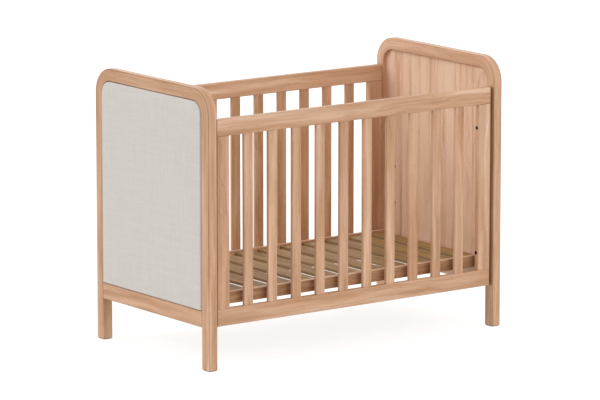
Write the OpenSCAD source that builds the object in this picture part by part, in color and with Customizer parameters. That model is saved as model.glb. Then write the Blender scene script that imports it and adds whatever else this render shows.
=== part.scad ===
// Baby crib with two upholstered ends, two fixed slatted sides and a mattress base
// that bolts on at any of three heights. X runs along the crib, the front is -Y,
// +Z is up, and the origin is on the floor under the crib's centre. Millimetres.
// The base is drawn at its lowest height.

/* [Inside] */
// Length between the posts of the two ends, the mattress length
inner_l = 1200; // [1100:10:1400]
// Width between the posts of each end, the mattress width
inner_w = 600; // [560:10:700]

/* [Ends] */
// Height of the ends
end_h = 972; // [930:1:1100]
// Thickness of the end frames, along the crib
post_t = 38; // [32:1:45]
// Width of the posts and of the top rail, seen from the end
post_w = 43; // [38:1:50]
// Outer radius of the rounded top corners
corner_r = 90; // [70:1:120]
// Height of the end's bottom rail above the floor
end_rail_z = 147; // [120:1:150]
// Depth of the end's bottom rail, top to bottom
end_rail_h = 58; // [50:1:66]
// How far the inner boards sit back from the face of the end frame
board_recess = 14; // [10:1:14]
// How far the upholstered pad stands out of the end frame
pad_proud = 7; // [4:1:14]

/* [Sides] */
// Height of the top edge of the sides
side_top = 868; // [820:1:870]
// Height of the bottom edge of the sides
side_bottom = 150; // [130:1:160]
// Depth of the side's top and bottom rails
side_rail_h = 60; // [50:1:70]
// Thickness of the sides
side_t = 22; // [20:1:26]
// How far the sides sit back from the outer face of the posts
side_setback = 11; // [8:1:14]
// Width of the upright at each end of a side
stile_w = 51; // [42:1:60]
// Number of slats in each side
slat_count = 10; // [9:1:12]
// Width of a side slat
slat_w = 38; // [30:1:42]
// Thickness of a side slat
slat_t = 14; // [12:1:19]

/* [Mattress base] */
// Height of the underside of the base at its lowest position
base_low = 216; // [212:1:230]
// Distance from one base height to the next
base_step = 134; // [100:1:140]
// Depth of the long base rails
base_rail_h = 42; // [40:1:46]
// Number of slats across the base
base_slat_count = 12; // [10:1:13]
// Width of a base slat
base_slat_w = 70; // [50:1:75]

/* [Hidden] */
eps = 0.5;                  // how far a cut runs past the face it opens

// ends
end_x = inner_l/2;                              // inner face of the posts
mid_x = end_x + post_t/2;                       // middle of the end frame
post_clear = 1;             // extra room between the posts
post_y = inner_w/2 + post_clear + post_w;       // outer edge of the posts
open_y = post_y - post_w;                       // half width of the end's opening
open_z0 = end_rail_z + end_rail_h;              // bottom of the end's opening
open_z1 = end_h - post_w;                       // top of the end's opening
open_r = corner_r - post_w;                     // radius of the opening's top corners
outer_round = 7;            // rounding of the frame's outer edges
inner_round = 3;            // rounding of the frame's inner edges
glide_t = 3;                // felt glide under each post
glide_inset = 2;            // how far the glide stays in from the post's edge
fit_clear = 0.1;            // clearance round glued, screwed and grooved parts
groove_d = 8;               // depth of the groove that holds the boards
board_t = 10;               // thickness of the inner boards
board_count = 6;            // boards across each end
board_gap = 0.4;            // joint between two boards
board_vee = 1.6;            // chamfer on a board's long edges
backing_t = 6;              // plywood behind the pad
pad_reveal = 2;             // shadow gap round the pad
board_x = end_x + board_recess;                 // visible face of the boards
backing_x = board_x + board_t;
pad_x = backing_x + backing_t;
pad_t = end_x + post_t + pad_proud - pad_x;     // foam and cover together

// sides
side_y = post_y - side_setback - side_t;        // inner face of a side
slat_z0 = side_bottom + side_rail_h;
slat_z1 = side_top - side_rail_h;
shadow_w = 7;               // shadow line where a side meets a post
tongue_t = 14;              // what is left of the side's thickness behind that line
shadow_d = side_t - tongue_t;
stile_x = end_x - shadow_w - stile_w;           // inner edge of the upright
slat_gap = (2*stile_x - slat_count*slat_w)/(slat_count + 1);
slat_pitch = slat_w + slat_gap;
side_round = 4;             // rounding of rails and slats
stile_back_round = 0.5;     // the upright's edge that meets the post
slat_mid_y = side_y + side_t/2;
tenon_l = 12;               // how far slats and uprights enter the rails
tenon_t = 8;
tenon_shoulder = 5;         // step from a slat's edge to its tenon

// base
base_gap_x = 1;             // running gap between the base and the end boards
base_gap_y = 5;             // running gap between the base and the posts
base_x = board_x - base_gap_x;                  // outer face of the base's end rails
base_y = open_y - base_gap_y;                   // outer face of the long rails
base_rail_t = 30;           // thickness of the long rails, ledge included
ledge_w = 12;               // ledge that carries the slats
ledge_drop = 16;            // ledge below the rail's top
base_end_t = 20;            // thickness of the end rails
base_round = 3;             // rounding of the base rails
base_slat_t = 10;           // thickness of a base slat
base_slat_round = 2;        // rounding of a base slat's edges
base_slat_gap_y = 1;        // end play of a slat between the rails
base_end_gap = 13;          // extra gap beyond the first and last slats
ledge_z = base_low + base_rail_h - ledge_drop;  // what the slats rest on
base_slat_pitch = 2*(base_x - base_end_gap)/base_slat_count;

// fasteners
bolt_r = 3;                 // M6 bolts throughout
bolt_clear = 0.2;           // clearance round a bolt
head_r = 6.5;
head_t = 4.5;
socket_af = 5;              // hexagon socket, across flats
socket_d = 3;
counterbore_r = 7;
counterbore_d = 5;
insert_r = 6;               // threaded inserts in the posts
insert_l = board_recess - 2;
side_bolt_y = side_y + 9;   // in the part of the upright that meets the post
side_bolt_z = [273, 724];   // the two bolts at each end of a side
head_x = stile_x + counterbore_d - head_t;      // outer face of a side bolt's head
side_bolt_l = end_x + insert_l - 1 - head_x;
base_bolt_y = inner_w/2 - 55;
base_bolt_z = (base_low + ledge_z)/2;
base_bolt_tip = 0.5;        // the bolt stops this far inside the end rail's face
base_head_r = 6;
base_head_t = 4;
base_insert_r = 5;
base_levels = 3;
dowel_r = 4;                // glued dowels
dowel_l = 40;
dowel_dx = 8;               // dowels stand in pairs, this far off the frame's centre
dowel_in = 17;              // from the frame's outer edge to its dowels
rail_dowel_z = [end_rail_z + 15, end_rail_z + end_rail_h - 18];
base_dowel_r = 3;
base_dowel_l = 26;
base_dowel_in = 12;         // how far a base dowel enters the long rail
base_dowel_dz = 8;          // from the end rail's top and bottom to its dowels
screw_r = 1.75;             // screws that hold the base slats from below
screw_l = 20;
screw_head_r = 3.5;
screw_head_t = 2.5;
screw_tip = 6;              // how far a screw enters its slat
screw_y = base_y - base_rail_t + ledge_w/2;
screw_z = ledge_z + screw_tip - screw_l;        // top of a screw's head

// colours
wood = [0.80, 0.64, 0.53];
wood_dark = [0.72, 0.55, 0.44];
pine = [0.76, 0.66, 0.46];
ply = [0.82, 0.72, 0.56];
cloth = [0.84, 0.83, 0.80];
felt = [0.45, 0.36, 0.30];
black_steel = [0.12, 0.11, 0.11];
zinc = [0.70, 0.70, 0.68];

ENDS = [["left", -1], ["right", 1]];
FACES = [["front", -1], ["back", 1]];

$fn = 64;

function slat_name(face, i) = str("side_", face, "_slat_", i < 10 ? "0" : "", i);

// ---- shared shapes ----

// A bar's section: t across X, w along Y from its inner edge, with its own rounding on each edge
module bar_section(w, t, r_in, r_out) {
    translate([-t/2, r_in]) square([t, w - r_in - r_out]);
    translate([-t/2 + r_in, 0]) square([t - 2*r_in, r_in]);
    translate([-t/2 + r_out, w - r_out]) square([t - 2*r_out, r_out]);
    for (s = [-1, 1]) {
        translate([s*(t/2 - r_in), r_in]) circle(r_in);
        translate([s*(t/2 - r_out), w - r_out]) circle(r_out);
    }
}

// A straight bar along +X, t across Y and h up Z from the origin's height, all edges rounded
module rail(length, t, h, r) {
    translate([-length/2, 0, 0])
        rotate([90, 0, 90])
            linear_extrude(length) bar_section(h, t, r, r);
}

// A hole or rod along +X
module rod_x(r, length) {
    rotate([0, 90, 0]) cylinder(r = r, h = length);
}

// A hole or rod along +Y
module rod_y(r, length) {
    rotate([-90, 0, 0]) cylinder(r = r, h = length);
}

// The end's opening as a 2D shape, Y across and Z up, grown outwards by grow
module opening_2d(grow) {
    r = open_r + grow;
    half = open_y + grow;
    z0 = open_z0 - grow;
    z1 = open_z1 + grow;
    translate([-half, z0]) square([2*half, z1 - r - z0]);
    translate([-half + r, z0]) square([2*half - 2*r, z1 - z0]);
    for (s = [-1, 1]) translate([s*(half - r), z1 - r]) circle(r);
}

// A sheet in the end's opening, from x towards the outside of the right-hand end
module opening_sheet(x, t, grow) {
    translate([x, 0, 0])
        rotate([90, 0, 90])
            linear_extrude(t) opening_2d(grow);
}

// Draws a right-hand part at either end, or a back part at either side
module at_end(s) {
    if (s > 0) children();
    else mirror([1, 0, 0]) children();
}

module at_face(s) {
    if (s > 0) children();
    else mirror([0, 1, 0]) children();
}

// ---- ends, drawn as the right-hand end ----

module groove_cut() {
    opening_sheet(board_x - fit_clear, board_t + 2*fit_clear, groove_d + fit_clear);
}

// The dowels of the back half of the right-hand end, or the holes for them
module end_dowel_set(r, extra) {
    len = dowel_l + 2*extra;
    for (dx = [-dowel_dx, dowel_dx]) {
        translate([mid_x + dx, post_y - dowel_in, end_h - corner_r - len/2]) cylinder(r = r, h = len);
        translate([mid_x + dx, post_y - corner_r - len/2, end_h - dowel_in]) rod_y(r, len);
    }
    for (z = rail_dowel_z) translate([mid_x - dowel_dx, open_y - len/2, z]) rod_y(r, len);
}

module dowel_holes() {
    for (f = FACES) at_face(f[1]) end_dowel_set(dowel_r + fit_clear, eps);
}

module side_insert_holes() {
    for (z = side_bolt_z)
        translate([end_x - eps, side_bolt_y, z]) rod_x(insert_r + fit_clear, insert_l + 2*eps);
}

module end_post(e, f) {
    color(wood) at_end(e) at_face(f) difference() {
        translate([mid_x, open_y, glide_t])
            linear_extrude(end_h - corner_r - glide_t)
                bar_section(post_w, post_t, inner_round, outer_round);
        groove_cut();
        end_dowel_set(dowel_r + fit_clear, eps);
        side_insert_holes();
    }
}

module end_corner(e, f) {
    color(wood) at_end(e) at_face(f) difference() {
        translate([mid_x, post_y - corner_r, end_h - corner_r])
            rotate([90, 0, 90])
                rotate_extrude(angle = 90)
                    translate([open_r, 0])
                        rotate(-90) mirror([1, 0]) bar_section(post_w, post_t, inner_round, outer_round);
        groove_cut();
        end_dowel_set(dowel_r + fit_clear, eps);
    }
}

module end_top_rail(e) {
    color(wood) at_end(e) difference() {
        translate([mid_x, 0, open_z1])
            rotate([90, 0, 0])
                linear_extrude(2*(post_y - corner_r), center = true)
                    bar_section(post_w, post_t, inner_round, outer_round);
        groove_cut();
        dowel_holes();
    }
}

module end_bottom_rail(e) {
    color(wood) at_end(e) difference() {
        translate([mid_x, 0, end_rail_z])
            rotate([90, 0, 0])
                linear_extrude(2*open_y, center = true)
                    bar_section(end_rail_h, post_t, outer_round, inner_round);
        groove_cut();
        dowel_holes();
    }
}

module end_inner_boards(e) {
    pitch = 2*(open_y + groove_d)/board_count;
    color(wood_dark) at_end(e)
        for (i = [0:board_count - 1]) {
            y0 = -open_y - groove_d + i*pitch;
            difference() {
                intersection() {
                    opening_sheet(board_x, board_t, groove_d);
                    translate([board_x - 1, y0 + board_gap/2, 0])
                        cube([board_t + 2, pitch - board_gap, end_h]);
                }
                for (y = [y0, y0 + pitch])
                    translate([board_x, y, 0])
                        rotate(45)
                            translate([-board_vee/2, -board_vee/2, 0]) cube([board_vee, board_vee, end_h]);
                for (level = [0:base_levels - 1]) for (s = [-1, 1])
                    translate([board_x - eps, s*base_bolt_y, base_bolt_z + level*base_step])
                        rod_x(base_insert_r + fit_clear, board_t + 2*eps);
            }
        }
}

module end_backing_panel(e) {
    color(ply) at_end(e) opening_sheet(backing_x, backing_t, -pad_reveal);
}

module end_fabric_pad(e) {
    color(cloth) at_end(e) opening_sheet(pad_x, pad_t, -pad_reveal);
}

// ---- sides, drawn as the back side ----

// A tenon, or the mortise for it, standing up or down from height z
module tenon(x, w, z, up) {
    translate([x - w/2, slat_mid_y - tenon_t/2, up ? z : z - tenon_l]) cube([w, tenon_t, tenon_l]);
}

function slat_x(i) = -stile_x + slat_gap + slat_w/2 + (i - 1)*slat_pitch;

module side_tenons(z, up) {
    for (i = [1:slat_count]) tenon(slat_x(i), slat_w - 2*tenon_shoulder, z, up);
    for (s = [-1, 1]) tenon(s*(stile_x + stile_w/2), stile_w - 2*tenon_shoulder, z, up);
}

// The step that leaves a dark line between a side and the posts
module shadow_cut() {
    for (s = [-1, 1])
        translate([s > 0 ? end_x - shadow_w : -end_x - eps, side_y + side_t - shadow_d, side_bottom - eps])
            cube([shadow_w + eps, shadow_d + eps, side_top - side_bottom + 2*eps]);
}

module side_rail(f, z, mortise_z, up) {
    color(wood) at_face(f) difference() {
        translate([0, slat_mid_y, z]) rail(inner_l, side_t, side_rail_h, side_round);
        side_tenons(mortise_z, up);
        shadow_cut();
    }
}

module side_top_rail(f) {
    side_rail(f, side_top - side_rail_h, slat_z1, true);
}

module side_bottom_rail(f) {
    side_rail(f, side_bottom, slat_z0, false);
}

module side_stile(f, s) {
    color(wood) at_face(f) at_end(s) difference() {
        union() {
            translate([stile_x, slat_mid_y, slat_z0])
                rotate(-90)
                    linear_extrude(slat_z1 - slat_z0)
                        bar_section(stile_w + shadow_w, side_t, side_round, stile_back_round);
            tenon(stile_x + stile_w/2, stile_w - 2*tenon_shoulder, slat_z0, false);
            tenon(stile_x + stile_w/2, stile_w - 2*tenon_shoulder, slat_z1, true);
        }
        shadow_cut();
        for (z = side_bolt_z) translate([stile_x - eps, side_bolt_y, z]) {
            rod_x(bolt_r + bolt_clear, stile_w + shadow_w + 2*eps);
            rod_x(counterbore_r, counterbore_d + eps);
        }
    }
}

module side_slat(f, i) {
    color(wood) at_face(f) {
        translate([slat_x(i) - slat_w/2, slat_mid_y, slat_z0])
            rotate(-90)
                linear_extrude(slat_z1 - slat_z0)
                    bar_section(slat_w, slat_t, side_round, side_round);
        tenon(slat_x(i), slat_w - 2*tenon_shoulder, slat_z0, false);
        tenon(slat_x(i), slat_w - 2*tenon_shoulder, slat_z1, true);
    }
}

// ---- mattress base ----

function base_slat_x(i) = (i - (base_slat_count - 1)/2)*base_slat_pitch;

module base_long_rail(f) {
    mid_y = base_y - base_rail_t/2;
    color(wood) at_face(f) difference() {
        translate([0, mid_y, base_low]) rail(2*base_x, base_rail_t, base_rail_h, base_round);
        translate([-base_x - eps, base_y - base_rail_t - eps, ledge_z])
            cube([2*base_x + 2*eps, ledge_w + eps, ledge_drop + eps]);
        for (s = [-1, 1]) at_end(s) base_dowel_set(base_dowel_r + fit_clear, eps);
        slat_screws(screw_r + fit_clear, screw_head_r + fit_clear, screw_z - base_low + eps);
    }
}

module base_end_rail(s) {
    color(wood) at_end(s) difference() {
        translate([base_x - base_end_t/2, 0, base_low])
            rotate([0, 0, 90])
                rail(2*(base_y - base_rail_t), base_end_t, ledge_z - base_low, base_round);
        for (f = FACES) at_face(f[1]) {
            base_dowel_set(base_dowel_r + fit_clear, eps);
            translate([base_x - base_end_t - eps, base_bolt_y, base_bolt_z])
                rod_x(bolt_r + bolt_clear, base_end_t + 2*eps);
        }
    }
}

module base_slats() {
    len = 2*(base_y - base_rail_t + ledge_w - base_slat_gap_y);
    color(pine)
        for (i = [0:base_slat_count - 1])
            translate([base_slat_x(i), 0, ledge_z])
                rotate([0, 0, 90]) difference() {
                    rail(len, base_slat_w, base_slat_t, base_slat_round);
                    for (s = [-1, 1]) for (side = [-1, 1])
                        translate([s*screw_y, side*base_slat_w/4, -eps])
                            cylinder(r = screw_r + fit_clear, h = screw_tip + eps + fit_clear);
                }
}

// ---- fasteners ----

module socket_bolt(length, r_head, t_head) {
    difference() {
        union() {
            rod_x(r_head, t_head);
            rod_x(bolt_r, length);
        }
        translate([-eps, 0, 0])
            rotate([0, 90, 0]) cylinder(r = socket_af/sqrt(3), h = socket_d + eps, $fn = 6);
    }
}

module side_bolts() {
    color(black_steel)
        for (e = ENDS) for (f = FACES) for (z = side_bolt_z)
            at_end(e[1]) at_face(f[1])
                translate([head_x, side_bolt_y, z])
                    socket_bolt(side_bolt_l, head_r, head_t);
}

module side_bolt_inserts() {
    color(zinc)
        for (e = ENDS) for (f = FACES) for (z = side_bolt_z)
            at_end(e[1]) at_face(f[1])
                translate([end_x + fit_clear, side_bolt_y, z]) difference() {
                    rod_x(insert_r, insert_l);
                    translate([-eps, 0, 0]) rod_x(bolt_r + fit_clear, insert_l + 2*eps);
                }
}

module base_bolts() {
    color(black_steel)
        for (e = ENDS) for (f = FACES)
            at_end(e[1]) at_face(f[1])
                translate([base_x - base_end_t - base_head_t, base_bolt_y, base_bolt_z])
                    socket_bolt(base_head_t + base_end_t - base_bolt_tip, base_head_r, base_head_t);
}

module base_bolt_inserts() {
    color(zinc)
        for (e = ENDS) for (f = FACES) for (level = [0:base_levels - 1])
            at_end(e[1]) at_face(f[1])
                translate([board_x, base_bolt_y, base_bolt_z + level*base_step]) difference() {
                    rod_x(base_insert_r, board_t);
                    translate([-eps, 0, 0]) rod_x(bolt_r + fit_clear, board_t + 2*eps);
                }
}

module frame_dowels() {
    color(pine)
        for (e = ENDS) for (f = FACES)
            at_end(e[1]) at_face(f[1]) end_dowel_set(dowel_r, 0);
}

// Two dowels that join a base end rail to the back long rail, or the holes for them
module base_dowel_set(r, extra) {
    for (z = [base_low + base_dowel_dz, ledge_z - base_dowel_dz])
        translate([base_x - base_end_t/2, base_y - base_rail_t + base_dowel_in - base_dowel_l - extra, z])
            rod_y(r, base_dowel_l + 2*extra);
}

module base_dowels() {
    color(pine)
        for (e = ENDS) for (f = FACES)
            at_end(e[1]) at_face(f[1]) base_dowel_set(base_dowel_r, 0);
}

// Two screws at each end of each base slat, up through the ledge of the back long rail.
// A head of height t_head is a screw's; a taller one is the way in from below.
module slat_screws(r, r_head, t_head) {
    for (i = [0:base_slat_count - 1]) for (side = [-1, 1])
        translate([base_slat_x(i) + side*base_slat_w/4, screw_y, screw_z]) {
            cylinder(r = r, h = screw_l);
            translate([0, 0, -t_head]) cylinder(r = r_head, h = t_head);
        }
}

module base_slat_screws() {
    color(zinc)
        for (f = FACES) at_face(f[1]) slat_screws(screw_r, screw_head_r, screw_head_t);
}

module foot_glides() {
    color(felt)
        for (e = ENDS) for (f = FACES)
            at_end(e[1]) at_face(f[1])
                translate([mid_x, open_y + glide_inset, 0])
                    linear_extrude(glide_t)
                        bar_section(post_w - 2*glide_inset, post_t - 2*glide_inset, inner_round, outer_round);
}

// ---- one line per node ----

for (e = ENDS) {
    for (f = FACES) {
        end_post(e[1], f[1]);
        end_corner(e[1], f[1]);
    }
    end_top_rail(e[1]);
    end_bottom_rail(e[1]);
    end_inner_boards(e[1]);
    end_backing_panel(e[1]);
    end_fabric_pad(e[1]);
}
for (f = FACES) {
    side_top_rail(f[1]);
    side_bottom_rail(f[1]);
    side_stile(f[1], -1);
    side_stile(f[1], 1);
    for (i = [1:slat_count]) side_slat(f[1], i);
}
base_long_rail(-1);  // base_rail_front
base_long_rail(1);  // base_rail_back
base_end_rail(-1);  // base_rail_left
base_end_rail(1);  // base_rail_right
base_slats();
side_bolts();
side_bolt_inserts();
base_bolts();
base_bolt_inserts();
frame_dowels();
base_dowels();
base_slat_screws();
foot_glides();
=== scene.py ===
"""Baby crib: materials, upholstered pads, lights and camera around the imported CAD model."""

import math
import random

import bmesh
import bpy
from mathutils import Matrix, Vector


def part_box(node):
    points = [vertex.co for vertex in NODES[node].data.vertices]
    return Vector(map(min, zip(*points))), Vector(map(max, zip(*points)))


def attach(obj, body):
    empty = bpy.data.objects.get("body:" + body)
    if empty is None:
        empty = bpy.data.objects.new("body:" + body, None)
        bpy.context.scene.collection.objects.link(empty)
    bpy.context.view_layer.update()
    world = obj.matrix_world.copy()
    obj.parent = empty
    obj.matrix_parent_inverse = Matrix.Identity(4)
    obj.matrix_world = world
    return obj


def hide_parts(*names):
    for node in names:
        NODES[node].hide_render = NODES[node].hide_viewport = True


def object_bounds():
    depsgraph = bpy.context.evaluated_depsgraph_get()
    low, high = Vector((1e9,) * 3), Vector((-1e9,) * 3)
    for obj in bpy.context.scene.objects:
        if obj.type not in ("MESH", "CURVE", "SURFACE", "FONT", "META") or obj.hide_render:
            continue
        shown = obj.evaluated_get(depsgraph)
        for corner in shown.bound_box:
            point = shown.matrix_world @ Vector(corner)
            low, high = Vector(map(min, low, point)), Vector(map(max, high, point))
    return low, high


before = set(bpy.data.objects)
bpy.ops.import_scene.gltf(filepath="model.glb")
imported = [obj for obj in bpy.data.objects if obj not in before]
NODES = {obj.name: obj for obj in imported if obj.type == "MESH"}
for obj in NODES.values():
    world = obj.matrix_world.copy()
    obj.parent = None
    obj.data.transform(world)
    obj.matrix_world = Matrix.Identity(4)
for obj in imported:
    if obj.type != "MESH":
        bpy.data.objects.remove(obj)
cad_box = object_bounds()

ROOT = "crib_frame"
MM = 0.001
X, Y, Z = 0, 1, 2

# ---- where things are, from the frame ----

post_lo, post_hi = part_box("end_right_post_back")
corner_lo, corner_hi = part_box("end_right_corner_back")
BEND_Y = corner_lo.y                            # centre of the rounded top corners
BEND_Z = corner_lo.z
BEND_R = (post_lo.y + post_hi.y) / 2 - BEND_Y   # radius of the corner's middle line
ARC = math.pi / 2 * BEND_R                      # length of that line

side_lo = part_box("side_back_bottom_rail")[0]
side_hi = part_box("side_back_top_rail")[1]
STEP_WIDTH, STEP_DEPTH = 7 * MM, 8 * MM     # the step in a side's outer face, beside each post
MARGIN = 0.5 * MM                           # keeps a limit off the face that it is meant to pass
STEP_X = post_lo.x - STEP_WIDTH + MARGIN    # what a side has beyond both of these is the step's floor
STEP_Y = (side_lo.y + side_hi.y - STEP_DEPTH) / 2
GAP_Y = side_hi.y - STEP_DEPTH - MARGIN     # beyond this a post's inner face looks over that floor


# ---- node helpers ----


def new_material(name):
    mat = bpy.data.materials.new(name)
    mat.use_nodes = True
    nt = mat.node_tree
    nt.nodes.clear()
    out = nt.nodes.new("ShaderNodeOutputMaterial")
    shader = nt.nodes.new("ShaderNodeBsdfPrincipled")
    nt.links.new(shader.outputs[0], out.inputs["Surface"])
    return mat, nt, shader


def feed(nt, socket, value):
    """Sets a socket to a number, or links another socket to it."""
    if isinstance(value, (int, float)):
        socket.default_value = value
    else:
        nt.links.new(value, socket)


def math_node(nt, operation, a, b=None, c=None, clamp=False):
    node = nt.nodes.new("ShaderNodeMath")
    node.operation = operation
    node.use_clamp = clamp
    for socket, value in zip(node.inputs, (a, b, c)):
        if value is not None:
            feed(nt, socket, value)
    return node.outputs[0]


def product(nt, first, *others):
    for other in others:
        first = math_node(nt, "MULTIPLY", first, other)
    return first


def beyond(nt, value, limit):
    """1 where the value's size is over the limit, and 0 elsewhere."""
    return math_node(nt, "GREATER_THAN", math_node(nt, "ABSOLUTE", value), limit)


def noise_node(nt, vector, scale, detail=2.0, roughness=0.5):
    """A noise whose scale is a number, or a triple of cycles per metre along each axis."""
    if not isinstance(scale, (int, float)):
        stretch = nt.nodes.new("ShaderNodeVectorMath")
        stretch.operation = "MULTIPLY"
        nt.links.new(vector, stretch.inputs[0])
        stretch.inputs[1].default_value = scale
        vector, scale = stretch.outputs[0], 1.0
    node = nt.nodes.new("ShaderNodeTexNoise")
    nt.links.new(vector, node.inputs["Vector"])
    node.inputs["Scale"].default_value = scale
    node.inputs["Detail"].default_value = detail
    node.inputs["Roughness"].default_value = roughness
    return node.outputs[0]


def random_of(nt, number):
    """A random value from 0 to 1, the same wherever the number is the same."""
    node = nt.nodes.new("ShaderNodeTexWhiteNoise")
    node.noise_dimensions = "1D"
    nt.links.new(number, node.inputs["W"])
    return node.outputs["Value"]


def span(nt, value, low, high, to_low=0.0, to_high=1.0):
    """value from low..high to to_low..to_high, held at the ends."""
    node = nt.nodes.new("ShaderNodeMapRange")
    nt.links.new(value, node.inputs["Value"])
    for name, number in (
        ("From Min", low), ("From Max", high), ("To Min", to_low), ("To Max", to_high),
    ):
        node.inputs[name].default_value = number
    return node.outputs["Result"]


def mix_colour(nt, factor, a, b, blend="MIX"):
    node = nt.nodes.new("ShaderNodeMix")
    node.data_type = "RGBA"
    node.blend_type = blend
    for socket, value in ((node.inputs[0], factor), (node.inputs[6], a), (node.inputs[7], b)):
        if isinstance(value, tuple):
            socket.default_value = (*value, 1.0)
        else:
            feed(nt, socket, value)
    return node.outputs[2]


def split_xyz(nt, vector):
    node = nt.nodes.new("ShaderNodeSeparateXYZ")
    nt.links.new(vector, node.inputs[0])
    return node.outputs


def combine(nt, x, y, z):
    node = nt.nodes.new("ShaderNodeCombineXYZ")
    for socket, value in zip(node.inputs, (x, y, z)):
        feed(nt, socket, value)
    return node.outputs[0]


def length_of(nt, vector):
    node = nt.nodes.new("ShaderNodeVectorMath")
    node.operation = "LENGTH"
    nt.links.new(vector, node.inputs[0])
    return node.outputs["Value"]


def object_point(nt):
    """The point in the object's own frame, which moves with it."""
    return nt.nodes.new("ShaderNodeTexCoord").outputs["Object"]


def place(nt):
    """That point, split in X, Y and Z."""
    return split_xyz(nt, object_point(nt))


def facing(nt):
    """The surface's normal in the world's axes, split in X, Y and Z."""
    return split_xyz(nt, nt.nodes.new("ShaderNodeNewGeometry").outputs["Normal"])


def add_bump(nt, shader, height, distance, strength=1.0):
    node = nt.nodes.new("ShaderNodeBump")
    node.inputs["Strength"].default_value = strength
    node.inputs["Distance"].default_value = distance
    nt.links.new(height, node.inputs["Height"])
    nt.links.new(node.outputs[0], shader.inputs["Normal"])


def give(node, mat):
    """Puts the material on every slot of a CAD node's object."""
    obj = NODES[node]
    if not obj.material_slots:
        obj.data.materials.append(mat)
    for slot in obj.material_slots:
        slot.link = "OBJECT"
        slot.material = mat


# ---- wood ----

WOOD_DARK = (0.315, 0.161, 0.072)
WOOD_MID = (0.522, 0.294, 0.162)
WOOD_LIGHT = (0.678, 0.428, 0.282)
WOOD_PALE = (0.822, 0.590, 0.430)
PINK_CAST = (1.0, 0.935, 0.895)
WOOD_SPECULAR = 0.35
WOOD_ROUGH = (0.50, 0.40)          # between the fibres, and on them

# Features of the grain, in cycles per metre across, across and along it
SLOW_WANDER = (3.0, 3.0, 2.2)
FINE_WANDER = (24.0, 24.0, 9.0)
PATCHES = (24.0, 24.0, 1.5)        # about 40 mm wide and 700 mm long
STREAKS = (46.0, 46.0, 2.3)        # within a patch
FIBRES = (520.0, 520.0, 11.0)
PORES = (1400.0, 1400.0, 60.0)
FLECKS = (560.0, 560.0, 95.0)
HUES = (17.0, 17.0, 1.3)

SLOW_SWING, FINE_SWING = 50 * MM, 8 * MM      # the widest that the grain can wander
RINGS_PER_METRE = 190.0
RING_POWER = 2.5                              # over 1, so that a ring is dark only near its end
PITH_X, PITH_Y = 90 * MM, 50 * MM             # how far off the pith lies


def wood_group():
    """Vector: across, across and along the grain, in metres. Shade: lighter or darker, about 0."""
    nt = bpy.data.node_groups.new("wood_grain", "ShaderNodeTree")
    sockets = nt.interface
    sockets.new_socket("Vector", in_out="INPUT", socket_type="NodeSocketVector")
    sockets.new_socket("Shade", in_out="INPUT", socket_type="NodeSocketFloat")
    sockets.new_socket("Color", in_out="OUTPUT", socket_type="NodeSocketColor")
    sockets.new_socket("Roughness", in_out="OUTPUT", socket_type="NodeSocketFloat")
    sockets.new_socket("Height", in_out="OUTPUT", socket_type="NodeSocketFloat")
    inputs = nt.nodes.new("NodeGroupInput").outputs
    outputs = nt.nodes.new("NodeGroupOutput").inputs
    p = inputs["Vector"]

    # The grain wanders, so that no streak is straight
    slow = noise_node(nt, p, SLOW_WANDER)
    fine = noise_node(nt, p, FINE_WANDER)
    shift = math_node(nt, "MULTIPLY_ADD", slow, SLOW_SWING, -SLOW_SWING / 2)
    shift = math_node(nt, "MULTIPLY_ADD", fine, FINE_SWING, shift)
    across_1, across_2, along = split_xyz(nt, p)
    u = math_node(nt, "ADD", across_1, shift)
    v = math_node(nt, "ADD", across_2, shift)
    q = combine(nt, u, v, along)

    # Growth rings round a pith that lies outside the piece. Each ring is dark by its own amount
    from_pith = combine(nt, math_node(nt, "ADD", u, PITH_X), math_node(nt, "ADD", v, PITH_Y), 0.0)
    rings = math_node(nt, "MULTIPLY", length_of(nt, from_pith), RINGS_PER_METRE)
    ring = math_node(nt, "POWER", math_node(nt, "FRACT", rings), RING_POWER)
    ring = math_node(nt, "MULTIPLY", ring, random_of(nt, math_node(nt, "FLOOR", rings)))

    patches = noise_node(nt, q, PATCHES)
    streaks = noise_node(nt, q, STREAKS, 4.0, 0.62)
    fibres = noise_node(nt, q, FIBRES, 3.0, 0.6)
    pores = span(nt, noise_node(nt, q, PORES, 1.0), 0.60, 0.74)
    flecks = span(nt, noise_node(nt, q, FLECKS, 1.0), 0.64, 0.74)

    # Each feature makes the wood lighter or darker by its own share
    light = 0.03
    for feature, share in (
        (span(nt, streaks, 0.30, 0.70), 0.42),
        (span(nt, patches, 0.28, 0.72), 0.48),
        (span(nt, fibres, 0.30, 0.70), 0.15),
        (ring, -0.20),
        (pores, -0.12),
        (flecks, -0.22),
    ):
        light = math_node(nt, "MULTIPLY_ADD", feature, share, light)
    light = math_node(nt, "ADD", light, inputs["Shade"], clamp=True)

    ramp = nt.nodes.new("ShaderNodeValToRGB")
    stops = ramp.color_ramp.elements
    stops[0].position, stops[0].color = 0.0, (*WOOD_DARK, 1.0)
    stops[1].position, stops[1].color = 1.0, (*WOOD_PALE, 1.0)
    for position, colour in ((0.40, WOOD_MID), (0.75, WOOD_LIGHT)):
        stops.new(position).color = (*colour, 1.0)
    nt.links.new(light, ramp.inputs[0])
    pink = span(nt, noise_node(nt, q, HUES), 0.32, 0.68)
    colour = mix_colour(nt, pink, ramp.outputs[0], PINK_CAST, "MULTIPLY")
    nt.links.new(colour, outputs["Color"])

    rough = span(nt, fibres, 0.2, 0.8, *WOOD_ROUGH)
    rough = math_node(nt, "MULTIPLY_ADD", pores, 0.12, rough)
    nt.links.new(rough, outputs["Roughness"])
    height = math_node(nt, "MULTIPLY", fibres, 0.6)
    height = math_node(nt, "MULTIPLY_ADD", pores, -0.8, height)
    height = math_node(nt, "MULTIPLY_ADD", ring, -0.3, height)
    nt.links.new(height, outputs["Height"])
    return nt


WOOD = wood_group()


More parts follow.
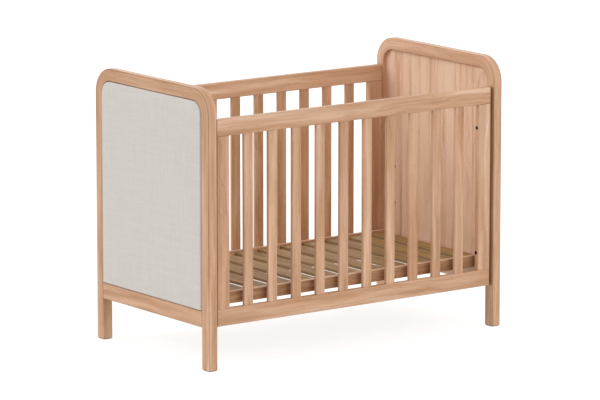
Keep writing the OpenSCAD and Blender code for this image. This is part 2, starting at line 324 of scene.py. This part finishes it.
def paint_wood(node, vector_of, shade):
    """vector_of(nt) gives the grain's own coordinates. shade is a number, or a function of nt."""
    mat, nt, shader = new_material("wood_" + node)
    grain = nt.nodes.new("ShaderNodeGroup")
    grain.node_tree = WOOD
    nt.links.new(vector_of(nt), grain.inputs["Vector"])
    feed(nt, grain.inputs["Shade"], shade(nt) if callable(shade) else shade)
    nt.links.new(grain.outputs["Color"], shader.inputs["Base Color"])
    nt.links.new(grain.outputs["Roughness"], shader.inputs["Roughness"])
    shader.inputs["Specular IOR Level"].default_value = WOOD_SPECULAR
    add_bump(nt, shader, grain.outputs["Height"], 0.3 * MM, 0.35)
    give(node, mat)


# ---- painted light and shade on the wood ----

EDGE_DARK = 0.38        # painted shade on the rounded edges of the end frames
STEP_DARK = 0.45        # painted shade in the step beside a post, and on the post there
STEP_FADE = 2.5 * MM    # that tone has faded this far round the post's edge


def painted_edge_shade(shade):
    """That shade, with painted shade along the rounded long edges of an end frame's strip."""

    def tone(nt):
        along_x = facing(nt)[X]
        in_plane = math_node(nt, "SUBTRACT", 1.0, math_node(nt, "MULTIPLY", along_x, along_x))
        in_plane = math_node(nt, "SQRT", in_plane)
        flatness = math_node(nt, "MAXIMUM", math_node(nt, "ABSOLUTE", along_x), in_plane)
        return math_node(nt, "ADD", span(nt, flatness, 0.74, 0.95, -EDGE_DARK, 0.0), shade)

    return tone


def post_tone(shade):
    """The end frame's painted edge shade, and painted shade where the post looks into the step beside a
    side.
    """
    wear_and_edge_shade = painted_edge_shade(shade)

    def tone(nt):
        x, y, z = place(nt)
        from_centre = math_node(nt, "ABSOLUTE", x)
        inner_face = span(nt, from_centre, post_lo.x + MARGIN, post_lo.x + STEP_FADE, 1.0, 0.0)
        above = math_node(nt, "GREATER_THAN", z, side_lo.z)
        below = math_node(nt, "LESS_THAN", z, side_hi.z)
        in_gap = product(nt, inner_face, beyond(nt, y, GAP_Y), above, below)
        # painted shade on the post's inner face, over the step
        return math_node(nt, "MULTIPLY_ADD", in_gap, -STEP_DARK, wear_and_edge_shade(nt))

    return tone


def shadow_line(shade):
    """That shade, with painted shade in the step beside the posts."""

    def tone(nt):
        x, y = place(nt)[:2]
        in_step = product(nt, beyond(nt, x, STEP_X), beyond(nt, y, STEP_Y))
        return math_node(nt, "MULTIPLY_ADD", in_step, -STEP_DARK, shade)

    return tone


def painted_lit_top(shade, top_shade):
    """Painted light and shade: top_shade on the faces that look up, and shade on the others."""
    return lambda nt: span(nt, facing(nt)[Z], 0.3, 0.8, shade, top_shade)


# ---- how the grain lies ----

TIMBER = 3.0                            # pieces are cut from a block of timber this wide, in metres
BOARD_JUMP = (0.173, 0.311, 0.737)      # from one board of a row to the next, in the timber


def timber_place(seed):
    """Where in the timber a piece was cut, in metres."""
    return [TIMBER * random.Random(seed + k).random() for k in range(3)]


def straight(along, seed):
    """Coordinates of a piece whose grain runs along that axis."""
    across = [a for a in (X, Y, Z) if a != along]
    shift = timber_place(seed)

    def vector_of(nt):
        p = place(nt)
        return combine(nt, *(math_node(nt, "ADD", p[a], s) for a, s in zip((*across, along), shift)))

    return vector_of


def end_frame_strip(zone, seed):
    """Coordinates of a strip up the front post, over both rounded corners and down the back post."""
    shift = timber_place(seed)
    middle = BEND_Z + ARC + BEND_Y      # the strip's length to the middle of the top rail

    def vector_of(nt):
        x, y, z = place(nt)
        outward = math_node(nt, "MULTIPLY", y, -1.0) if zone.endswith("front") else y
        if zone.startswith("post"):
            across, along = outward, z
        elif zone.startswith("corner"):
            dy = math_node(nt, "SUBTRACT", outward, BEND_Y)
            dz = math_node(nt, "SUBTRACT", z, BEND_Z)
            across = math_node(nt, "ADD", length_of(nt, combine(nt, dy, dz, 0.0)), BEND_Y)
            along = math_node(nt, "MULTIPLY_ADD", math_node(nt, "ARCTAN2", dz, dy), BEND_R, BEND_Z)
        else:
            across = math_node(nt, "ADD", z, BEND_Y - BEND_Z)
            along = math_node(nt, "ADD", y, middle)
        if zone.endswith("back"):
            along = math_node(nt, "SUBTRACT", 2 * middle, along)
        return combine(nt, *(math_node(nt, "ADD", c, s) for c, s in zip((across, x, along), shift)))

    return vector_of


def boards_of(axis, start, pitch, along, seed):
    """Like straight(), for a row of boards side by side along axis, each cut from another place.

    The second function that it returns gives each board its own shade between two.
    """
    base = straight(along, seed)

    def number(nt):
        from_start = math_node(nt, "SUBTRACT", place(nt)[axis], start)
        return math_node(nt, "FLOOR", math_node(nt, "DIVIDE", from_start, pitch))

    def vector_of(nt):
        jump = nt.nodes.new("ShaderNodeVectorMath")
        jump.operation = "MULTIPLY_ADD"
        n = number(nt)
        nt.links.new(combine(nt, n, n, n), jump.inputs[0])
        jump.inputs[1].default_value = BOARD_JUMP
        nt.links.new(base(nt), jump.inputs[2])
        return jump.outputs[0]

    def shade_of(low, high):
        def shade(nt):
            pick = random_of(nt, math_node(nt, "ADD", number(nt), seed + 0.5))
            return span(nt, pick, 0.0, 1.0, low, high)

        return shade

    return vector_of, shade_of


# ---- the wood of each piece ----

END_SHADES = {"left": 0.02, "right": 0.09}
END_BOTTOM_SHADE = -0.02                # against the rest of its end
# The back side's rails and stiles are painted lighter and its slats darker than the front's: painted light
# and shade on its inner faces
SIDE_SHADES = {"front": 0.0, "back": 0.17}
SLAT_SHADES = {"front": -0.01, "back": -0.08}
STILE_SHADES = {"front": -0.01, "back": 0.08}
# Painted shade on the base rails' sides, most on the front rail below the side's bottom rail;
# BASE_TOP_SHADE is painted light on their tops
BASE_SHADES = {"front": -0.42, "back": -0.02, "left": -0.25, "right": -0.25}
BASE_TOP_SHADE = 0.35
# The inner boards are painted lighter than the frame, painted light inside the crib; each board takes its
# own tone between the two
BOARD_SHADES = (0.33, 0.55)
BACKING_SHADE = 0.1

# Seeds for where in the timber each piece was cut. Pieces of one group count on from the first
END_SEEDS = {"left": 100, "right": 200}
BOARD_SEEDS = {"left": 456, "right": 159}
RAIL_SEEDS = {"front": 300, "back": 310}
UPRIGHT_SEEDS = {"front": 400, "back": 450}
BASE_RAIL_SEED = 600
BASE_SLAT_SEED = 700
DOWEL_SEEDS = {"frame_dowels": 720, "base_dowels": 730}

END_BOARDS = 6
SHADES = random.Random(11)


def piece_shade(spread=0.055):
    return SHADES.uniform(-spread, spread)


def paint_end(end):
    seed, shade = END_SEEDS[end], END_SHADES[end]
    for face in ("front", "back"):
        paint_wood(f"end_{end}_post_{face}", end_frame_strip("post_" + face, seed), post_tone(shade))
        paint_wood(f"end_{end}_corner_{face}", end_frame_strip("corner_" + face, seed), painted_edge_shade(shade))
    paint_wood(f"end_{end}_top_rail", end_frame_strip("rail", seed), painted_edge_shade(shade))
    paint_wood(f"end_{end}_bottom_rail", straight(Y, seed + 7), shade + END_BOTTOM_SHADE)
    paint_wood(f"end_{end}_backing_panel", straight(Z, seed + 30), BACKING_SHADE)
    boards = f"end_{end}_inner_boards"
    lo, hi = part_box(boards)
    vector_of, shade_of = boards_of(Y, lo.y, (hi.y - lo.y) / END_BOARDS, Z, BOARD_SEEDS[end])
    paint_wood(boards, vector_of, shade_of(*BOARD_SHADES))


def paint_side(face):
    for m, part in enumerate(("top_rail", "bottom_rail")):
        shade = shadow_line(SIDE_SHADES[face] + piece_shade())
        paint_wood(f"side_{face}_{part}", straight(X, RAIL_SEEDS[face] + m), shade)
    on_side = [n for n in sorted(NODES) if n.startswith(f"side_{face}_")]
    uprights = [n for n in on_side if "slat" in n or "stile" in n]
    for m, node in enumerate(uprights):
        if "stile" in node:
            shade = shadow_line(STILE_SHADES[face] + piece_shade())
        else:
            shade = SLAT_SHADES[face] + piece_shade()
        paint_wood(node, straight(Z, UPRIGHT_SEEDS[face] + 3 * m), shade)


def paint_base_rails():
    for m, (part, along) in enumerate((("front", X), ("back", X), ("left", Y), ("right", Y))):
        # painted shade on the rails' sides and painted light on their tops
        shade = painted_lit_top(BASE_SHADES[part] + piece_shade(), BASE_TOP_SHADE)
        paint_wood("base_rail_" + part, straight(along, BASE_RAIL_SEED + 5 * m), shade)


for end in ("left", "right"):
    paint_end(end)
for face in ("front", "back"):
    paint_side(face)
paint_base_rails()


# ---- base slats and dowels: a yellower softwood ----

SOFTWOOD_DARK = (0.225, 0.125, 0.042)
SOFTWOOD_LIGHT = (0.560, 0.365, 0.150)
PAINTED_SIDE_SHADE, PAINTED_TOP_LIGHT = -0.22, 0.02      # painted shade on the slats' sides, and painted light on their tops
SOFTWOOD_STREAKS = (60.0, 60.0, 1.2)        # cycles per metre, as for the wood above
SOFTWOOD_FIBRES = (700.0, 700.0, 10.0)
SOFTWOOD_SPREAD = 0.12                      # how much lighter or darker a slat may be
BASE_SLATS = 12
BASE_SLAT_GAP = 30 * MM
DOWEL_BAND = 50 * MM                        # dowels in one such band of height look alike


def paint_softwood(node, vector_of, shade_of):
    mat, nt, shader = new_material("wood_" + node)
    p = vector_of(nt)
    streaks = noise_node(nt, p, SOFTWOOD_STREAKS, 3.0, 0.55)
    fibres = noise_node(nt, p, SOFTWOOD_FIBRES, 3.0, 0.6)
    light = math_node(nt, "MULTIPLY", span(nt, streaks, 0.3, 0.7), 0.6)
    light = math_node(nt, "MULTIPLY_ADD", span(nt, fibres, 0.3, 0.7), 0.25, light)
    light = math_node(nt, "ADD", light, shade_of(-SOFTWOOD_SPREAD, SOFTWOOD_SPREAD)(nt))
    # painted shade on the sides and painted light on the tops
    light = math_node(nt, "ADD", light, painted_lit_top(PAINTED_SIDE_SHADE, PAINTED_TOP_LIGHT)(nt), clamp=True)
    nt.links.new(mix_colour(nt, light, SOFTWOOD_DARK, SOFTWOOD_LIGHT), shader.inputs["Base Color"])
    nt.links.new(span(nt, fibres, 0.2, 0.8, 0.62, 0.5), shader.inputs["Roughness"])
    shader.inputs["Specular IOR Level"].default_value = WOOD_SPECULAR
    add_bump(nt, shader, fibres, 0.4 * MM, 0.4)
    give(node, mat)


lo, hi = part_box("base_slats")
slat_pitch = (hi.x - lo.x + BASE_SLAT_GAP) / BASE_SLATS
first_slat = lo.x - BASE_SLAT_GAP / 2
paint_softwood("base_slats", *boards_of(X, first_slat, slat_pitch, Y, BASE_SLAT_SEED))
for node, seed in DOWEL_SEEDS.items():
    paint_softwood(node, *boards_of(Z, 0.0, DOWEL_BAND, Y, seed))


# ---- metal and felt ----

BLACK_STEEL = (0.030, 0.027, 0.026)
ZINC_STEEL = (0.62, 0.61, 0.58)
WORN_PART = 0.75                        # how dark the darkest metal is, against its colour
WEAR = 350.0                            # cycles per metre
SCRATCHES = (200.0, 2500.0, 2500.0)     # long in X
FELT_DARK = (0.10, 0.062, 0.040)
FELT_LIGHT = (0.23, 0.150, 0.105)
FELT_HAIRS = 900.0


def metal_material(name, colour, rough_low, rough_high):
    mat, nt, shader = new_material(name)
    p = object_point(nt)
    wear_and_edge_shade = noise_node(nt, p, WEAR, 3.0)
    scratched = noise_node(nt, p, SCRATCHES)
    dark = tuple(WORN_PART * c for c in colour)
    nt.links.new(mix_colour(nt, wear_and_edge_shade, dark, colour), shader.inputs["Base Color"])
    nt.links.new(span(nt, scratched, 0.3, 0.7, rough_low, rough_high), shader.inputs["Roughness"])
    shader.inputs["Metallic"].default_value = 0.9
    return mat


black_steel = metal_material("black_steel", BLACK_STEEL, rough_low=0.30, rough_high=0.48)
zinc_steel = metal_material("zinc_steel", ZINC_STEEL, rough_low=0.25, rough_high=0.42)
for node in ("side_bolts", "base_bolts"):
    give(node, black_steel)
for node in ("side_bolt_inserts", "base_bolt_inserts", "base_slat_screws"):
    give(node, zinc_steel)


def felt_material():
    mat, nt, shader = new_material("felt")
    hairs = noise_node(nt, object_point(nt), FELT_HAIRS, 3.0, 0.7)
    nt.links.new(mix_colour(nt, hairs, FELT_DARK, FELT_LIGHT), shader.inputs["Base Color"])
    shader.inputs["Roughness"].default_value = 0.95
    shader.inputs["Sheen Weight"].default_value = 0.3
    add_bump(nt, shader, hairs, 0.4 * MM)
    return mat


give("foot_glides", felt_material())


# ---- woven cover ----

FABRIC_DARK = (0.500, 0.468, 0.430)
FABRIC_LIGHT = (0.715, 0.680, 0.632)
THREAD = 1.15 * MM                 # from one thread to the next
THREAD_DRIFT = 3 * MM              # the widest that the threads can wander
DRIFT, CLOUDS = 9.0, 5.0           # cycles per metre of that, and of the cloudy tone
SLUBS = (420.0, 16.0)              # cycles per metre across a thread and along it
COARSE = (95.0, 5.0)


def thread_wave(nt, across):
    """Up and down by turns, from one thread to the next."""
    return math_node(nt, "SINE", math_node(nt, "MULTIPLY", across, math.pi / THREAD))


def thread_noise(nt, p, scale):
    """Thick and thin stretches of single threads: the warp up Z, and the weft along Y."""
    across, along = scale
    warp = noise_node(nt, p, (0.0, across, along), 2.0, 0.6)
    weft = noise_node(nt, p, (0.0, along, across), 2.0, 0.6)
    return math_node(nt, "ADD", warp, weft)


def weave_material():
    """Plain weave of slubby linen: warp up Z, weft along Y."""
    mat, nt, shader = new_material("woven_cover")
    p = object_point(nt)
    y, z = split_xyz(nt, p)[1:]
    drift = math_node(nt, "MULTIPLY_ADD", noise_node(nt, p, DRIFT), THREAD_DRIFT, -THREAD_DRIFT / 2)
    warp, weft = (thread_wave(nt, math_node(nt, "ADD", across, drift)) for across in (y, z))
    over = math_node(nt, "MULTIPLY", warp, weft)
    slubs = thread_noise(nt, p, SLUBS)
    coarse = thread_noise(nt, p, COARSE)
    cloud = noise_node(nt, p, CLOUDS)
    light = math_node(nt, "MULTIPLY_ADD", over, 0.10, 0.38)
    light = math_node(nt, "MULTIPLY_ADD", span(nt, slubs, 0.7, 1.3), 0.26, light)
    light = math_node(nt, "MULTIPLY_ADD", span(nt, coarse, 0.75, 1.25), 0.16, light)
    light = math_node(nt, "MULTIPLY_ADD", cloud, 0.12, light, clamp=True)
    nt.links.new(mix_colour(nt, light, FABRIC_DARK, FABRIC_LIGHT), shader.inputs["Base Color"])
    shader.inputs["Roughness"].default_value = 0.92
    shader.inputs["Specular IOR Level"].default_value = 0.2
    shader.inputs["Sheen Weight"].default_value = 0.15
    shader.inputs["Sheen Roughness"].default_value = 0.5
    add_bump(nt, shader, math_node(nt, "MULTIPLY_ADD", slubs, 0.8, over), 0.35 * MM, 0.5)
    return mat


woven_cover = weave_material()


# ---- upholstered pads ----

PAD_EDGE = 8 * MM          # radius of the soft edge
PAD_EDGE_DROP = 6 * MM     # how much lower the cover is at the edge
PAD_CROWN = 1.2 * MM       # how much the middle stands up
PAD_CROWN_RUN = 70 * MM    # how far in from the edge most of that is reached
PAD_CELL = 11 * MM         # mesh size away from the edges
PAD_ARC_STEPS = 12         # rows round each rounded top corner
PAD_ROW_GAP = 4 * MM       # least gap below the first of those rows
PAD_INSET = 1.2 * MM       # the pad is made a little thin, and swells to its size
PAD_CLEARANCE = 2 * MM     # gap round the pad's corners
PAD_RIM = 30 * MM          # the cover is held less and less from its edge to this far in
PAD_CAP = 2.5 * MM         # how far a point may move in the simulation
SWELL_FRAMES = 15
EDGE_ROWS = (0.0, 1.0, 2.2, 3.6, 5.2, 7.2, 9.8, 13.5, 19.0, 27.0)      # mm in from an edge


def steps_from_edge(length, cell):
    """Distances from one edge to the other: close together near both edges, then even."""
    near = [d * MM for d in EDGE_ROWS]
    middle = length - 2 * near[-1]
    count = max(1, round(middle / cell))
    inner = [near[-1] + middle * k / count for k in range(1, count)]
    return near + inner + [length - d for d in reversed(near)]


def edge_distance(y, z, lo, hi, half, radius):
    """How far a point is inside the pad's outline, which is round at its two top corners."""
    if abs(y) > half - radius and z > hi.z - radius:
        return radius - math.hypot(abs(y) - half + radius, z - hi.z + radius)
    return min(half - abs(y), z - lo.z, hi.z - z)


def pad_height(depth, thick):
    """The pad's thickness that far in from its edge: a quarter round, then a slight crown."""
    depth = max(0.0, depth)
    rise = math.sqrt(max(0.0, 1.0 - (1.0 - min(1.0, depth / PAD_EDGE)) ** 2))
    return thick - PAD_EDGE_DROP * (1.0 - rise) - PAD_CROWN * math.exp(-depth / PAD_CROWN_RUN)


def outline_ring(rows, columns):
    """The places (row, column) round a grid's outline, in order."""
    ring = [(0, j) for j in range(columns)]
    ring += [(i, columns - 1) for i in range(1, rows)]
    ring += [(rows - 1, j) for j in range(columns - 2, -1, -1)]
    ring += [(i, 0) for i in range(rows - 2, 0, -1)]
    return ring


def pad_mesh(name, lo, hi, radius, outward):
    """A closed pad on the YZ plane. Its back is flat on the backing panel, its front faces outward in X."""
    half = (hi.y - lo.y) / 2
    arc_z = hi.z - radius
    ys = steps_from_edge(2 * half, PAD_CELL)
    zs = [lo.z + d for d in steps_from_edge(hi.z - lo.z, PAD_CELL) if lo.z + d < arc_z - PAD_ROW_GAP]
    angles = [math.pi / 2 * k / PAD_ARC_STEPS for k in range(PAD_ARC_STEPS + 1)]
    zs += [arc_z + radius * math.sin(a) for a in angles]
    x_back = lo.x if outward > 0 else hi.x
    thick = (hi.x - lo.x) - PAD_INSET
    bm = bmesh.new()
    front, back = [], []
    for z in zs:
        rise = max(0.0, z - arc_z)
        width = half - radius + math.sqrt(max(0.0, radius * radius - rise * rise))
        front_row, back_row = [], []
        for d in ys:
            y = (d / half - 1.0) * width
            depth = edge_distance(y, z, lo, hi, half, radius)
            front_row.append(bm.verts.new((x_back + outward * pad_height(depth, thick), y, z)))
            back_row.append(bm.verts.new((x_back, y, z)))
        front.append(front_row)
        back.append(back_row)
    rows, columns = len(zs), len(ys)
    for i in range(rows - 1):
        for j in range(columns - 1):
            bm.faces.new((front[i][j], front[i][j + 1], front[i + 1][j + 1], front[i + 1][j]))
            bm.faces.new((back[i][j], back[i + 1][j], back[i + 1][j + 1], back[i][j + 1]))
    ring = outline_ring(rows, columns)
    for (i, j), (next_i, next_j) in zip(ring, ring[1:] + ring[:1]):
        bm.faces.new((front[i][j], back[i][j], back[next_i][next_j], front[next_i][next_j]))
    bmesh.ops.recalc_face_normals(bm, faces=bm.faces)
    mesh = bpy.data.meshes.new(name)
    bm.to_mesh(mesh)
    bm.free()
    obj = bpy.data.objects.new(name, mesh)
    bpy.context.scene.collection.objects.link(obj)
    mesh.shade_smooth()
    return obj


def pin_rim(obj, lo, hi, radius):
    """A vertex group that holds the pad's rim and back, and lets go of its front towards the middle."""
    half = (hi.y - lo.y) / 2
    pins = obj.vertex_groups.new(name="pins")
    x_front = max(abs(v.co.x) for v in obj.data.vertices)
    for v in obj.data.vertices:
        depth = edge_distance(v.co.y, v.co.z, lo, hi, half, radius)
        on_front = x_front - abs(v.co.x) < PAD_EDGE_DROP
        hold = max(0.0, 1.0 - depth / PAD_RIM) if on_front else 1.0
        pins.add([v.index], hold, "REPLACE")
    return pins


def swell(obj, pins):
    """Cloth simulation of the stretched cover over its foam. What the pins hold stays where it is."""
    rest = [v.co.copy() for v in obj.data.vertices]
    cloth = obj.modifiers.new("cloth", "CLOTH")
    cloth.settings.quality = 6
    cloth.settings.mass = 0.3
    cloth.settings.tension_stiffness = 20
    cloth.settings.compression_stiffness = 12
    cloth.settings.bending_stiffness = 0.6
    cloth.settings.vertex_group_mass = pins.name
    cloth.settings.use_pressure = True
    cloth.settings.uniform_pressure_force = 4.0
    cloth.settings.effector_weights.gravity = 0.0
    cloth.collision_settings.use_collision = False
    scene = bpy.context.scene
    for f in range(1, SWELL_FRAMES + 1):
        scene.frame_set(f)
    shape = obj.evaluated_get(bpy.context.evaluated_depsgraph_get())
    moved = [v.co.copy() for v in shape.data.vertices]
    obj.modifiers.remove(cloth)
    obj.vertex_groups.remove(pins)
    scene.frame_set(1)
    for v, before, after in zip(obj.data.vertices, rest, moved):
        step = after - before
        if step.length > PAD_CAP:
            step *= PAD_CAP / step.length
        v.co = before + step


corner_radius = corner_hi.z - corner_lo.z - (post_hi.y - post_lo.y)      # inside the rounded corner
for end, outward in (("left", -1), ("right", 1)):
    node = f"end_{end}_fabric_pad"
    lo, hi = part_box(node)
    radius = corner_radius - PAD_CLEARANCE
    pad = pad_mesh(f"pad_{end}", lo, hi, radius, outward)
    swell(pad, pin_rim(pad, lo, hi, radius))
    sub = pad.modifiers.new("smooth", "SUBSURF")
    sub.levels = sub.render_levels = 1
    pad.data.materials.append(woven_cover)
    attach(pad, ROOT)
    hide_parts(node)


# ---- camera, floor and light ----

VIEW_TURN = math.radians(36.29)     # the view turns this far from +Y towards +X
CAMERA_DISTANCE = 15.193            # on the floor plan, from the crib's centre
CAMERA_SIDE = 0.0157                # to the left of that centre's line
CAMERA_HEIGHT = 3.311
AIM_DROP = 10 * MM                  # the camera looks this far below the crib's centre
LENS, SENSOR = 262.0, 36.0          # focal length and sensor width, in mm
FAR = 100.0                         # metres to the last thing drawn

forward = Vector((math.sin(VIEW_TURN), math.cos(VIEW_TURN), 0.0))
sideways = Vector((math.cos(VIEW_TURN), -math.sin(VIEW_TURN), 0.0))
camera = bpy.data.objects.new("camera", bpy.data.cameras.new("camera"))
bpy.context.scene.collection.objects.link(camera)
camera.location = Vector((0.0, 0.0, CAMERA_HEIGHT)) - CAMERA_DISTANCE * forward - CAMERA_SIDE * sideways
aim = (cad_box[0] + cad_box[1]) / 2 - Vector((0.0, 0.0, AIM_DROP))
camera.rotation_euler = (aim - camera.location).to_track_quat("-Z", "Y").to_euler()
camera.data.lens = LENS
camera.data.sensor_width = SENSOR
camera.data.clip_end = FAR
bpy.context.scene.camera = camera

FLOOR_HALF = 30.0                   # half the floor's width
FLOOR_GREY = 0.36
FLOOR_GLOW = 0.76

floor_mesh = bpy.data.meshes.new("floor")
quarters = ((-1, -1), (1, -1), (1, 1), (-1, 1))
floor_corners = [(FLOOR_HALF * x, FLOOR_HALF * y, 0) for x, y in quarters]
floor_mesh.from_pydata(floor_corners, [], [(0, 1, 2, 3)])
floor = bpy.data.objects.new("floor", floor_mesh)
bpy.context.scene.collection.objects.link(floor)
floor_paint, nt, shader = new_material("floor")
shader.inputs["Base Color"].default_value = (FLOOR_GREY, FLOOR_GREY, FLOOR_GREY, 1.0)
shader.inputs["Roughness"].default_value = 0.9
shader.inputs["Emission Color"].default_value = (1.0, 1.0, 1.0, 1.0)
shader.inputs["Emission Strength"].default_value = FLOOR_GLOW
floor.data.materials.append(floor_paint)
floor.visible_diffuse = False       # a bright floor that doesn't light the crib from below


def soft_sun(name, direction, strength, wide):
    """A sun so many degrees wide that its shadows have no edge. It shines from that direction."""
    light = bpy.data.objects.new(name, bpy.data.lights.new(name, "SUN"))
    bpy.context.scene.collection.objects.link(light)
    light.data.energy = strength
    light.data.angle = math.radians(wide)
    light.rotation_euler = Vector(direction).to_track_quat("Z", "Y").to_euler()


soft_sun("left", (-1.0, 0.5, 0.6), strength=1.06, wide=40)
soft_sun("front", (0.2, -1.0, 0.5), strength=0.84, wide=50)
soft_sun("back", (1.0, 0.8, 0.35), strength=0.50, wide=50)

SKY_STRENGTH = 0.74

world = bpy.data.worlds.new("studio")
bpy.context.scene.world = world
world.use_nodes = True
sky = world.node_tree.nodes["Background"].inputs
sky["Color"].default_value = (1.0, 1.0, 1.0, 1.0)
sky["Strength"].default_value = SKY_STRENGTH
bpy.context.scene.view_settings.view_transform = "Standard"
